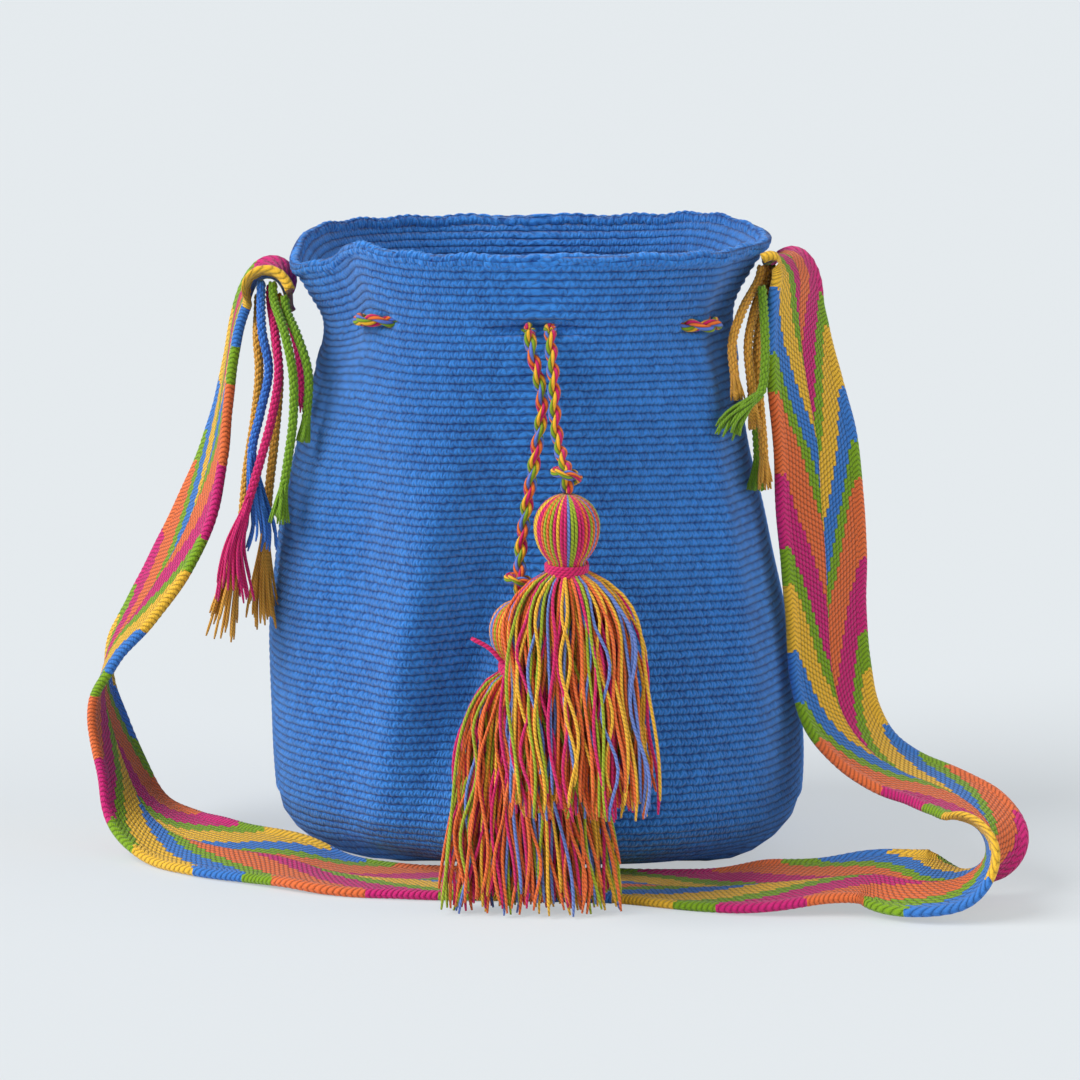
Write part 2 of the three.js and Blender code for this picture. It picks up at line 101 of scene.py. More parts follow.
def turn_gap(first, second):
    return (first - second + 540) % 360 - 180


def outline_value(column, share):
    index = 0
    while index < len(OUTLINES) - 2 and share > OUTLINES[index + 1][0]:
        index += 1
    before = OUTLINES[max(0, index - 1)]
    low = OUTLINES[index]
    high = OUTLINES[index + 1]
    after = OUTLINES[min(len(OUTLINES) - 1, index + 2)]
    span = high[0] - low[0]
    step = min(1.0, max(0.0, (share - low[0]) / span))
    start_slope = (high[column] - before[column]) / max(span, high[0] - before[0]) * span
    end_slope = (after[column] - low[column]) / max(span, after[0] - low[0]) * span
    squared = step * step
    cubed = squared * step
    return (
        low[column] * (2 * cubed - 3 * squared + 1)
        + start_slope * (cubed - 2 * squared + step)
        + high[column] * (3 * squared - 2 * cubed)
        + end_slope * (cubed - squared)
    )


def outline_at(share):
    return [outline_value(column, share) for column in range(1, 6)]


def signed_power(value, power):
    return math.copysign(abs(value) ** power, value)


def wall_point(turn, share, out=0.0, outline=None):
    left, right, front, back, power = outline or outline_at(share)
    angle = math.radians(turn)
    across = math.cos(angle)
    along = math.sin(angle)
    power += 0.3 * bell(turn_gap(turn, 316), 20) - 0.55 * bell(turn_gap(turn, 228), 24)
    x = (left if across < 0 else right) * signed_power(across, 2 / power)
    y = (front if along < 0 else back) * signed_power(along, 2 / power)
    depth = out
    for fold_turn, fold_share, turn_spread, share_spread, fold_depth, lean in FOLDS:
        away = turn_gap(turn, fold_turn + lean * (share - fold_share))
        depth += fold_depth * bell(away, turn_spread) * bell(share - fold_share, share_spread)
    reach = math.hypot(x, y)
    scale = (reach + depth) / reach
    height = share * BAG_HEIGHT
    for wave_turn, spread, rise in RIM_WAVES:
        height += rise * bell(turn_gap(turn, wave_turn), spread) * smooth_step((share - 0.7) / 0.3)
    return Vector((x * scale, y * scale, height))


def finish_piece(name, bm, material, merge=0.0000005):
    bmesh.ops.remove_doubles(bm, verts=bm.verts, dist=merge)
    open_edges = [edge for edge in bm.edges if edge.is_boundary]
    if open_edges:
        bmesh.ops.holes_fill(bm, edges=open_edges, sides=0)
    bmesh.ops.recalc_face_normals(bm, faces=bm.faces)
    mesh = bpy.data.meshes.new(name)
    bm.to_mesh(mesh)
    bm.free()
    mesh.polygons.foreach_set("use_smooth", [True] * len(mesh.polygons))
    mesh.materials.append(material)
    piece = bpy.data.objects.new(name, mesh)
    bpy.context.scene.collection.objects.link(piece)
    return piece


def paint(code):
    channels = [int(code[start:start + 2], 16) / 255 for start in (1, 3, 5)]
    return (*[c / 12.92 if c <= 0.04045 else ((c + 0.055) / 1.055) ** 2.4 for c in channels], 1.0)


def add_node(tree, kind, inputs=None, **settings):
    made = tree.nodes.new(kind)
    for name, value in settings.items():
        setattr(made, name, value)
    for slot, value in (inputs or {}).items():
        if isinstance(value, bpy.types.NodeSocket):
            tree.links.new(value, made.inputs[slot])
        else:
            made.inputs[slot].default_value = value
    return made


def maths(tree, operation, first, second=0.0, third=0.0):
    inputs = {0: first, 1: second, 2: third}
    return add_node(tree, "ShaderNodeMath", inputs, operation=operation).outputs[0]


def cotton_material(name, sheen):
    material = bpy.data.materials.new(name)
    material.use_nodes = True
    shader = material.node_tree.nodes["Principled BSDF"]
    shader.inputs["Roughness"].default_value = 0.9
    shader.inputs["Specular IOR Level"].default_value = 0.15
    shader.inputs["Sheen Weight"].default_value = sheen
    shader.inputs["Sheen Roughness"].default_value = 0.5
    return material, material.node_tree, shader


def tint_mix(tree, kind, share, first, second):
    mix = add_node(tree, "ShaderNodeMix", data_type="RGBA", blend_type=kind)
    for slot, value in ((0, share), (6, first), (7, second)):
        if isinstance(value, bpy.types.NodeSocket):
            tree.links.new(value, mix.inputs[slot])
        else:
            mix.inputs[slot].default_value = value
    return mix.outputs[2]


crochet, tree, shader = cotton_material("blue_crochet", 0.25)
place = add_node(tree, "ShaderNodeUVMap", uv_map="UVMap").outputs[0]
wander = add_node(tree, "ShaderNodeTexNoise", {"Vector": place, "Scale": 0.55, "Detail": 3.0}).outputs[0]
parts = add_node(tree, "ShaderNodeSeparateXYZ", {0: place})
uneven = maths(tree, "MULTIPLY_ADD", wander, 0.5, maths(tree, "SUBTRACT", parts.outputs[1], 0.25))
row = maths(tree, "FLOOR", uneven)
up = maths(tree, "SUBTRACT", maths(tree, "FRACT", uneven), 0.5)
shifted = maths(tree, "MULTIPLY_ADD", row, 0.37, parts.outputs[0])
wobbled = maths(tree, "MULTIPLY_ADD", wander, 1.4, shifted)
side = maths(tree, "SUBTRACT", maths(tree, "FRACT", wobbled), 0.5)
legs = []
for direction in (-1.0, 1.0):
    leaning = maths(tree, "MULTIPLY_ADD", up, 0.34 * direction, side)
    centred = maths(tree, "SUBTRACT", leaning, 0.24 * direction)
    wide = maths(tree, "POWER", maths(tree, "ABSOLUTE", maths(tree, "DIVIDE", centred, 0.25)), 2.0)
    tall = maths(tree, "POWER", maths(tree, "ABSOLUTE", maths(tree, "DIVIDE", up, 0.54)), 2.0)
    inside = maths(tree, "SUBTRACT", 1.0, maths(tree, "ADD", wide, tall))
    legs.append(maths(tree, "SQRT", maths(tree, "MAXIMUM", inside, 0.0)))
stitch = maths(tree, "MAXIMUM", legs[0], legs[1])
fuzz_inputs = {"Vector": place, "Scale": 3.6, "Detail": 5.0, "Roughness": 0.7}
fuzz = add_node(tree, "ShaderNodeTexNoise", fuzz_inputs).outputs[0]
cell = add_node(tree, "ShaderNodeCombineXYZ", {0: maths(tree, "FLOOR", wobbled), 1: row}).outputs[0]
chance = add_node(tree, "ShaderNodeTexWhiteNoise", {"Vector": cell}, noise_dimensions="2D").outputs[0]
from_middle = maths(tree, "ABSOLUTE", maths(tree, "MULTIPLY", up, 2.0))
groove = maths(tree, "SUBTRACT", 1.0, maths(tree, "POWER", from_middle, 3.0))
height = maths(tree, "MULTIPLY_ADD", fuzz, 1.1, stitch)
height = maths(tree, "MULTIPLY_ADD", groove, 0.8, height)
# Painted shade and highlight: the colour is darkened in the row grooves and lightened on the raised stitch
# legs and where the fuzz stands up; the per-stitch chance and the large patches add random tone.
shade = maths(tree, "MULTIPLY_ADD", stitch, 0.30, maths(tree, "MULTIPLY", groove, 0.42))
shade = maths(tree, "MULTIPLY_ADD", chance, 0.26, shade)
shade = maths(tree, "MULTIPLY_ADD", fuzz, 0.95, shade)
large = add_node(tree, "ShaderNodeTexCoord").outputs["Object"]
patches = add_node(tree, "ShaderNodeTexNoise", {"Vector": large, "Scale": 14.0, "Detail": 3.0}).outputs[0]
shade = maths(tree, "MULTIPLY_ADD", patches, 0.30, maths(tree, "SUBTRACT", shade, 0.62))
colour = tint_mix(tree, "MIX", shade, paint("#0b327e"), paint("#429bfa"))
tree.links.new(colour, shader.inputs["Base Color"])
relief = add_node(tree, "ShaderNodeBump", {"Strength": 0.9, "Distance": 0.0010, "Height": height})
tree.links.new(relief.outputs[0], shader.inputs["Normal"])


# Steps of the wall's section: out of the base, up the outside, over the mouth and down the inside.
def wall_section():
    section = []
    for bend in (0, 18, 36, 54, 72):
        angle = math.radians(bend)
        rise = BASE_EDGE_RADIUS * (1 - math.cos(angle))
        section.append((rise, BASE_EDGE_RADIUS * (1 - math.sin(angle)), 0.0))
    rows = ROWS_UP * 2
    for step in range(rows + 1):
        height = BASE_EDGE_RADIUS + (BAG_HEIGHT - BASE_EDGE_RADIUS) * step / rows
        section.append((height, 0.0, 1.0))
    for step in range(14, -1, -1):
        height = BASE_EDGE_RADIUS + (BAG_HEIGHT - BASE_EDGE_RADIUS) * step / 14
        section.append((height, WALL_THICKNESS, 0.5))
    inner_radius = BASE_EDGE_RADIUS - WALL_THICKNESS
    for bend in (60, 30, 0):
        angle = math.radians(bend)
        section.append((BASE_EDGE_RADIUS - inner_radius * math.cos(angle),
                        BASE_EDGE_RADIUS - inner_radius * math.sin(angle), 0.0))
    section.append(section[0])
    return section


def front_lift(y, height):
    fade = 1 - smooth_step(height / BASE_EDGE_RADIUS)
    return 0.0045 * smooth_step((-0.050 - y) / 0.020) * fade


section = wall_section()
outlines = [outline_at(step[0] / BAG_HEIGHT) for step in section]
ROUND_STEPS = 480
bm = bmesh.new()
uv_layer = bm.loops.layers.uv.new("UVMap")
bmesh.ops.create_grid(bm, x_segments=ROUND_STEPS, y_segments=len(section) - 1, size=0.5)
for vertex in bm.verts:
    column = round((vertex.co.x + 0.5) * ROUND_STEPS)
    step = round((vertex.co.y + 0.5) * (len(section) - 1))
    height, inset, relief_share = section[step]
    turn = (column % ROUND_STEPS) * 360 / ROUND_STEPS - 90
    share = height / BAG_HEIGHT
    out = -inset
    if relief_share == 1.0:
        row_number = (step - 5) // 2
        crest = (step - 5) % 2
        out += ROW_DEPTH * (0.5 if crest else -0.5)
        if row_number in (52, 57, 58) and crest:
            out += 0.0005
        for eyelet_turn, spread, depth in EYELETS:
            away = math.hypot(turn_gap(turn, eyelet_turn) / spread, (share - LACE_SHARE) / 0.008)
            out -= depth * smooth_step(1.6 - away)
    spot = wall_point(turn, share, out, outlines[step])
    spot.z += front_lift(spot.y, height)
    swell = noise.noise(spot * 24) * 0.0012 * (1 if inset == 0 else 0.6)
    spot.x += swell * math.cos(math.radians(turn))
    spot.y += swell * math.sin(math.radians(turn))
    vertex.co = spot
    vertex.index = column * 1000 + step
for face in bm.faces:
    columns = [loop.vert.index // 1000 for loop in face.loops]
    for loop, column in zip(face.loops, columns):
        step = loop.vert.index % 1000
        rise = (section[step][0] - BASE_EDGE_RADIUS) / (BAG_HEIGHT - BASE_EDGE_RADIUS)
        loop[uv_layer].uv = (column * STITCHES_ROUND / ROUND_STEPS, rise * ROWS_UP)
bag_wall = finish_piece("bag_wall", bm, crochet)
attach(bag_wall, "bag")
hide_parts("bag_body")

# Bag base: a flat round of the same crochet, worked from its middle outwards.
# It is closed into the bottom edge of the wall and rests on the table.
BASE_ROUNDS = 24
bm = bmesh.new()
uv_layer = bm.loops.layers.uv.new("UVMap")
bmesh.ops.create_grid(bm, x_segments=STITCHES_ROUND, y_segments=2 * BASE_ROUNDS, size=0.5)
for vertex in bm.verts:
    column = round((vertex.co.x + 0.5) * STITCHES_ROUND) % STITCHES_ROUND
    step = round((vertex.co.y + 0.5) * 2 * BASE_ROUNDS)
    spread = 1 - abs(step - BASE_ROUNDS) / BASE_ROUNDS
    turn = column * 360 / STITCHES_ROUND - 90
    spot = wall_point(turn, 0.0, -BASE_EDGE_RADIUS)
    lift = 0.0001 if step < BASE_ROUNDS else WALL_THICKNESS
    ridge = 0.0006 * (step % 2) if step > BASE_ROUNDS else 0.0
    vertex.co = (spot.x * spread, spot.y * spread, lift + ridge)
    vertex.co.z += front_lift(vertex.co.y, 0.0)
    vertex.index = column * 1000 + step
for face in bm.faces:
    for loop in face.loops:
        loop[uv_layer].uv = (loop.vert.index // 1000, loop.vert.index % 1000)
bag_base = finish_piece("bag_base", bm, crochet, 0.00001)
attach(bag_base, "bag")
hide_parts("bag_body")

# Bag mouth: the last round is worked as a thick slanted chain along the top edge.
# It stands a little proud of the wall, waves with it, and hides the wall's raw edge.
CHAIN_LOOPS = 132
CHAIN_STEPS = CHAIN_LOOPS * 8
CHAIN_SIDES = 12
bm = bmesh.new()
uv_layer = bm.loops.layers.uv.new("UVMap")
bmesh.ops.create_grid(bm, x_segments=CHAIN_STEPS, y_segments=CHAIN_SIDES, size=0.5)
for vertex in bm.verts:
    column = round((vertex.co.x + 0.5) * CHAIN_STEPS)
    side_step = round((vertex.co.y + 0.5) * CHAIN_SIDES)
    turn = (column % CHAIN_STEPS) * 360 / CHAIN_STEPS - 90
    angle = (side_step % CHAIN_SIDES) * 2 * math.pi / CHAIN_SIDES
    slant = (column / 8 - 0.9 * math.sin(angle) * 0.5) * math.pi
    ridge = abs(math.sin(slant))
    thick = 0.0021 + 0.0009 * math.sqrt(ridge)
    middle = wall_point(turn, 0.992, -WALL_THICKNESS / 2)
    out = Vector((middle.x, middle.y, 0)).normalized()
    waver = 0.0006 * math.sin(column / CHAIN_STEPS * 2 * math.pi * 23)
    rise = Vector((0, 0, math.sin(angle) * thick * 1.15 + waver))
    vertex.co = middle + out * (math.cos(angle) * thick) + rise
    vertex.index = column * 100 + side_step
for face in bm.faces:
    for loop in face.loops:
        loop[uv_layer].uv = (loop.vert.index // 100 / 5.5, loop.vert.index % 100 / 4.5)
bag_mouth = finish_piece("bag_mouth_chain", bm, crochet)
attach(bag_mouth, "bag")
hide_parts("bag_body")

# Drawstring: two thick plies of mixed cotton yarn twisted into one cord, threaded round the mouth.
# It goes out and in through the wall at both front corners and leaves through the front eyelet.
CORD_DIAMETER = 0.006
CORD_LAY = 0.019
YARN_COLOURS = ["#e8702f", "#c9205f", "#efb02c", "#7f9c22", "#5f78c8"]
PIVOT = Vector((0.0, -0.0847, 0.25665))


def smooth_route(points, spacing):
    points = [Vector(point) for point in points]
    padded = [2 * points[0] - points[1], *points, 2 * points[-1] - points[-2]]
    dense = []
    for before, start, end, after in zip(padded, padded[1:], padded[2:], padded[3:]):
        first = max(1e-6, (start - before).length) ** 0.5
        second = max(1e-6, (end - start).length) ** 0.5
        third = max(1e-6, (after - end).length) ** 0.5
        heading = (end - start) / second
        start_slope = ((start - before) / first - (end - before) / (first + second) + heading) * second
        end_slope = (heading - (after - start) / (second + third) + (after - end) / third) * second
        for step in range(12):
            share = step / 12
            squared = share * share
            cubed = squared * share
            dense.append(start * (2 * cubed - 3 * squared + 1) + start_slope * (cubed - 2 * squared + share)
                         + end * (3 * squared - 2 * cubed) + end_slope * (cubed - squared))
    dense.append(points[-1])
    return even_spacing(dense, spacing)


def path_length(points):
    return sum((end - start).length for start, end in zip(points, points[1:]))


def even_spacing(points, spacing):
    whole = path_length(points)
    count = max(2, round(whole / spacing))
    even = [points[0].copy()]
    walked = 0.0
    target = whole / count
    for start, end in zip(points, points[1:]):
        gap = (end - start).length
        while gap > 0 and walked + gap >= target - 1e-12 and len(even) < count:
            even.append(start.lerp(end, (target - walked) / gap))
            target += whole / count
        walked += gap
    even.append(points[-1].copy())
    return even


def path_frames(points):
    frames = []
    normal = None
    for index in range(len(points)):
        ahead = points[min(index + 1, len(points) - 1)] - points[max(index - 1, 0)]
        tangent = ahead.normalized()
        if normal is None:
            helper = Vector((0, 0, 1)) if abs(tangent.z) < 0.9 else Vector((1, 0, 0))
            normal = helper.cross(tangent).normalized()
        normal = (normal - tangent * normal.dot(tangent)).normalized()
        frames.append((normal, tangent.cross(normal)))
    return frames


def add_tube(bm, uv_layer, points, radius, sides, start_length=0.0, taper=0.0, tag=None, value=0.0):
    count = len(points) - 1
    frames = path_frames(points)
    lengths = [start_length]
    for start, end in zip(points, points[1:]):
        lengths.append(lengths[-1] + (end - start).length)
    made = bmesh.ops.create_grid(bm, x_segments=count, y_segments=sides, size=0.5)["verts"]
    faces = set()
    for vertex in made:
        step = round((vertex.co.x + 0.5) * count)
        side_step = round((vertex.co.y + 0.5) * sides)
        angle = (side_step % sides) * 2 * math.pi / sides
        normal, binormal = frames[step]
        reach = radius
        if taper and step in (0, count):
            reach = radius * (1 - taper)
        vertex.co = points[step] + (normal * math.cos(angle) + binormal * math.sin(angle)) * reach
        vertex.index = step * 100 + side_step
        faces.update(vertex.link_faces)
    for face in faces:
        if tag is not None:
            face[tag] = value
        for loop in face.loops:
            step = loop.vert.index // 100
            loop[uv_layer].uv = (lengths[step] * 1000, loop.vert.index % 100 / sides)


def twisted_plies(points, plies, diameter, lay):
    frames = path_frames(points)
    offset = diameter / 2 * (0.5 if plies == 2 else 0.54)
    routes = []
    for ply in range(plies):
        walked = 0.0
        route = []
        for index, point in enumerate(points):
            if index:
                walked += (point - points[index - 1]).length
            angle = 2 * math.pi * (walked / lay + ply / plies)
            normal, binormal = frames[index]
            route.append(point + (normal * math.cos(angle) + binormal * math.sin(angle)) * offset)
        routes.append(route)
    return routes


def twisted_cord(name, points, diameter, plies, lay, material):
    bm = bmesh.new()
    uv_layer = bm.loops.layers.uv.new("UVMap")
    ply_radius = diameter / 2 * (0.52 if plies == 2 else 0.47)
    for number, route in enumerate(twisted_plies(points, plies, diameter, lay)):
        add_tube(bm, uv_layer, route, ply_radius, 12, 0.0063 * number, 0.35)
    return finish_piece(name, bm, material)


def ramp_of(tree, share, colours):
    ramp = add_node(tree, "ShaderNodeValToRGB", {0: share})
    ramp.color_ramp.interpolation = "CONSTANT"
    for index, colour in enumerate(colours):
        if index < 2:
            stop = ramp.color_ramp.elements[index]
            stop.position = index / len(colours)
        else:
            stop = ramp.color_ramp.elements.new(index / len(colours))
        stop.color = paint(colour)
    return ramp.outputs[0]


# Yarn twist shared by every cord and strand: fine slanted plies with fibres between them, and a painted
# shade that darkens the hollows between the plies.
yarn_twist = bpy.data.node_groups.new("yarn_twist", "ShaderNodeTree")
for socket_name, default in (("Plies", 2.0), ("Turns per millimetre", 0.5)):
    socket = yarn_twist.interface.new_socket(socket_name, in_out="INPUT", socket_type="NodeSocketFloat")
    socket.default_value = default
for socket_name in ("Height", "Shade", "Round"):
    yarn_twist.interface.new_socket(socket_name, in_out="OUTPUT", socket_type="NodeSocketFloat")
group_in = yarn_twist.nodes.new("NodeGroupInput")
group_out = yarn_twist.nodes.new("NodeGroupOutput")
strand_place = add_node(yarn_twist, "ShaderNodeUVMap", uv_map="UVMap").outputs[0]
strand = add_node(yarn_twist, "ShaderNodeSeparateXYZ", {0: strand_place})
around = maths(yarn_twist, "MULTIPLY", strand.outputs[0], group_in.outputs[1])
around = maths(yarn_twist, "ADD", around, strand.outputs[1])
ply_turns = maths(yarn_twist, "MULTIPLY", around, group_in.outputs[0])
ply_wave = maths(yarn_twist, "MULTIPLY", ply_turns, math.pi)
ply_height = maths(yarn_twist, "ABSOLUTE", maths(yarn_twist, "SINE", ply_wave))
ply_height = maths(yarn_twist, "SQRT", ply_height)
fibres = add_node(yarn_twist, "ShaderNodeTexNoise", {"Vector": strand_place, "Scale": 3.0, "Detail": 3.0})
fibre_noise = fibres.outputs[0]
ply_relief = maths(yarn_twist, "MULTIPLY_ADD", fibre_noise, 0.35, ply_height)
yarn_twist.links.new(ply_relief, group_out.inputs["Height"])
# Painted shade: darker in the hollows between the plies, lighter on their crowns and on the raised fibres.
shade = maths(yarn_twist, "MULTIPLY_ADD", ply_height, 0.72, 0.22)
yarn_twist.links.new(maths(yarn_twist, "MULTIPLY_ADD", fibre_noise, 0.25, shade), group_out.inputs["Shade"])
yarn_twist.links.new(maths(yarn_twist, "FRACT", around), group_out.inputs["Round"])


def yarn_material(name, plies, turns, depth, colour_source):
    material, tree, shader = cotton_material(name, 0.2)
    twist = add_node(tree, "ShaderNodeGroup", node_tree=yarn_twist)
    twist.inputs["Plies"].default_value = plies
    twist.inputs["Turns per millimetre"].default_value = turns
    colour = colour_source(tree, twist)
    # The twist's painted shade is multiplied into the yarn's colour.
    shade = twist.outputs["Shade"]
    grey = add_node(tree, "ShaderNodeCombineColor", {0: shade, 1: shade, 2: shade})
    shaded = tint_mix(tree, "MULTIPLY", 1.0, colour, grey.outputs[0])
    tree.links.new(shaded, shader.inputs["Base Color"])
    relief_inputs = {"Strength": 0.7, "Distance": depth, "Height": twist.outputs["Height"]}
    relief = add_node(tree, "ShaderNodeBump", relief_inputs)
    tree.links.new(relief.outputs[0], shader.inputs["Normal"])
    return material


mixed_yarn = yarn_material(
    "mixed_cord_yarn", 5.0, 0.05, 0.0006, lambda tree, twist: ramp_of(tree, twist.outputs[2], YARN_COLOURS)
)

LACE_OFFSETS = {"in": -0.009, "wall": -0.002, "out": 0.005}
LACE_ROUTE = [
    (252, "in"), (243, "in"), (236, "in"), (231, "wall"), (226, "out"), (219, "out"), (212, "wall"),
    (205, "in"), (190, "in"), (172, "in"), (154, "in"), (138, "in"), (126, "in"), (112, "in"), (98, "in"),
    (82, "in"), (68, "in"), (54, "in"), (42, "in"), (26, "in"), (8, "in"), (-10, "in"), (-24, "in"),
    (-32, "wall"), (-39, "out"), (-45, "out"), (-50, "wall"), (-55, "in"), (-62, "in"), (-71, "in"),
]
eyelet_route = [(0.0046, -0.0811), (0.0046, -0.0781), (0.0086, -0.0711)]
lace = [Vector((-x, y, PIVOT.z)) for x, y in eyelet_route]
lace += [wall_point(turn, LACE_SHARE, LACE_OFFSETS[where]) for turn, where in LACE_ROUTE]
lace += [Vector((x, y, PIVOT.z)) for x, y in reversed(eyelet_route)]
lace_path = smooth_route(lace, 0.0016)
lacing = twisted_cord("drawstring_lacing_cord", lace_path, CORD_DIAMETER, 2, CORD_LAY, mixed_yarn)
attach(lacing, "bag")
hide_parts("drawstring_lacing")

# Drawstring ends: the same cord hangs from the eyelet in two lengths, each knotted into a tassel's head.
LOWER_HEAD = Vector((-0.009, -0.110, 0.124))
UPPER_HEAD = Vector((0.012, -0.118, 0.173))
LOWER_HEAD_RADIUS = 0.014
UPPER_HEAD_RADIUS = 0.015
CORD_ENDS = {
    "lower": [
        (-0.0046, PIVOT.y, PIVOT.z), (-0.004, -0.0877, 0.249), (-0.001, -0.091, 0.238),
        (0.001, -0.093, 0.224), (-0.001, -0.095, 0.208), (-0.004, -0.097, 0.190), (-0.007, -0.100, 0.172),
        (-0.009, -0.104, 0.156), (-0.009, -0.110, 0.147), (-0.009, -0.110, 0.1383),
    ],
    "upper": [
        (0.0046, PIVOT.y, PIVOT.z), (0.005, -0.0887, 0.249), (0.006, -0.095, 0.238),
        (0.0065, -0.098, 0.227), (0.007, -0.101, 0.216), (0.009, -0.106, 0.206),
        (0.012, -0.118, 0.197), (0.012, -0.118, 0.1883),
    ],
}
for which, route in CORD_ENDS.items():
    end_path = smooth_route(route, 0.0014)
    cord_end = twisted_cord(f"drawstring_{which}_cord", end_path, CORD_DIAMETER, 2, CORD_LAY, mixed_yarn)
    knot_middle = Vector(route[-1]) + Vector((0, 0, 0.006))
    knot_loop = []
    for step in range(25):
        angle = 2 * math.pi * step / 24 * 1.9
        rise = 0.0035 * math.sin(angle * 0.5) + 0.001 * step / 24
        knot_loop.append(knot_middle + Vector((0.0052 * math.cos(angle), 0.0042 * math.sin(angle), rise)))
    knot_path = smooth_route(knot_loop[:17], 0.0012)
    knot = twisted_cord(f"drawstring_{which}_knot", knot_path, 0.0046, 2, 0.013, mixed_yarn)
    for piece in (cord_end, knot):
        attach(piece, f"{which}_tassel")
    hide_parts(f"drawstring_{which}_end")

# Tassels: hanks of thin two-ply cotton yarn folded over the cord, bound below the fold into a round head.
# The cut strands spread out under the binding, wave a little and end unevenly.
STRAND_RADIUS = 0.00075
TASSEL_COLOURS = ["#f0743a", "#da2a6c", "#f2b93a", "#a3b52e", "#6d86cc"]
STRAND_SHARES = [0.36, 0.56, 0.75, 0.89, 1.0]
HEAD_SHARES = [0.20, 0.46, 0.68, 0.85, 1.0]
NECK_REACH = 0.0072
HEAD_FOOT_REACH = 0.0078
BINDING_REACH = 0.0092


def strand_colour(tree, twist):
    mark = add_node(tree, "ShaderNodeAttribute", attribute_name="yarn").outputs["Fac"]
    return ramp_of(tree, maths(tree, "MULTIPLY_ADD", mark, 0.2, 0.1), TASSEL_COLOURS)


tassel_yarn = yarn_material("tassel_strand_yarn", 2.0, 0.24, 0.0004, strand_colour)


def pick_yarn(picker, shares):
    chance = picker.random()
    for index, share in enumerate(shares):
        if chance <= share:
            return index
    return 0


def start_strands():
    bm = bmesh.new()
    uv_layer = bm.loops.layers.uv.new("UVMap")
    tag = bm.faces.layers.float.new("yarn")
    return bm, uv_layer, tag


def tassel(which, head, head_radius, foot, foot_width, foot_depth, strands, binding_colour, quick):
    picker = random.Random(f"{which} tassel")
    neck = head - Vector((0, 0, head_radius * 1.28))
    bm, uv_layer, tag = start_strands()
    around_head = 54
    for number in range(around_head):
        angle = 2 * math.pi * number / around_head
        route = []
        for bend in range(84, -61, -9):
            lean = math.radians(bend)
            reach = (head_radius - STRAND_RADIUS) * math.cos(lean)
            drop = (head_radius - STRAND_RADIUS) * math.sin(lean) * (1.25 if bend < 0 else 1.0)
            reach = max(reach, HEAD_FOOT_REACH if bend < 0 else 0.0)
            route.append(head + Vector((math.cos(angle) * reach, math.sin(angle) * reach, drop)))
        outwards = Vector((math.cos(angle), math.sin(angle), 0))
        route.append(neck + outwards * HEAD_FOOT_REACH)
        colour = pick_yarn(picker, HEAD_SHARES)
        add_tube(bm, uv_layer, route, STRAND_RADIUS, 8, picker.random() * 0.01, 0.0, tag, colour)
    inner_radius = head_radius - 0.0012
    heart = bmesh.ops.create_uvsphere(bm, u_segments=20, v_segments=12, radius=inner_radius)["verts"]
    bmesh.ops.translate(bm, verts=heart, vec=head)
    for number in range(strands):
        angle = number * 2.399963 + picker.uniform(-0.1, 0.1)
        layer = math.sqrt((number + 0.5) / strands)
        fall = picker.uniform(0.90, 1.03)
        if picker.random() < 0.12:
            fall -= picker.uniform(0.03, 0.12)
        wave_phase = picker.uniform(0, 6.3)
        wave_count = picker.uniform(0.8, 2.4)
        wave_reach = picker.uniform(0.0006, 0.0034)
        swing = picker.uniform(0.86, 1.10)
        route = []
        for step in range(20):
            share = step / 19 * fall
            opened = quick * (1 - math.exp(-11 * share)) + (1 - quick) * share ** 0.6
            width = NECK_REACH + (foot_width - NECK_REACH) * opened * swing
            depth = NECK_REACH + (foot_depth - NECK_REACH) * opened
            lean = share ** 0.9
            drop = (neck.z - foot.z) * share
            wave = wave_reach * math.sin(wave_phase + wave_count * 6.3 * share) * min(1, share * 4)
            spot = Vector((
                neck.x + (foot.x - neck.x) * lean + math.cos(angle) * width * layer + wave,
                neck.y + (foot.y - neck.y) * lean + math.sin(angle) * depth * layer
                - 0.003 * math.sin(math.pi * min(1, share * 3)) * layer,
                max(0.0012, neck.z - drop),
            ))
            route.append(spot)
        colour = pick_yarn(picker, STRAND_SHARES)
        add_tube(bm, uv_layer, route, STRAND_RADIUS, 6, picker.random() * 0.02, 0.4, tag, colour)
    hank = finish_piece(f"{which}_tassel_strands", bm, tassel_yarn)
    bm, uv_layer, tag = start_strands()
    coil = []
    for step in range(4 * 24 + 1):
        angle = 2 * math.pi * step / 24
        rise = 0.0024 - 0.0048 * step / 96
        coil.append(neck + Vector((math.cos(angle) * BINDING_REACH, math.sin(angle) * BINDING_REACH, rise)))
    add_tube(bm, uv_layer, coil, 0.0009, 8, 0.0, 0.3, tag, binding_colour)
    binding = finish_piece(f"{which}_tassel_neck_binding", bm, tassel_yarn)
    for piece, node, slot in ((hank, "hank", "tassel_yarn"), (binding, "binding", "binding_yarn")):
        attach(piece, f"{which}_tassel")
        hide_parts(f"{which}_tassel_{node}")


tassel("lower", LOWER_HEAD, LOWER_HEAD_RADIUS, Vector((-0.004, -0.140, 0.0025)), 0.042, 0.011, 290, 1, 0.35)
tassel("upper", UPPER_HEAD, UPPER_HEAD_RADIUS, Vector((0.019, -0.157, 0.052)), 0.034, 0.011, 280, 1, 0.85)

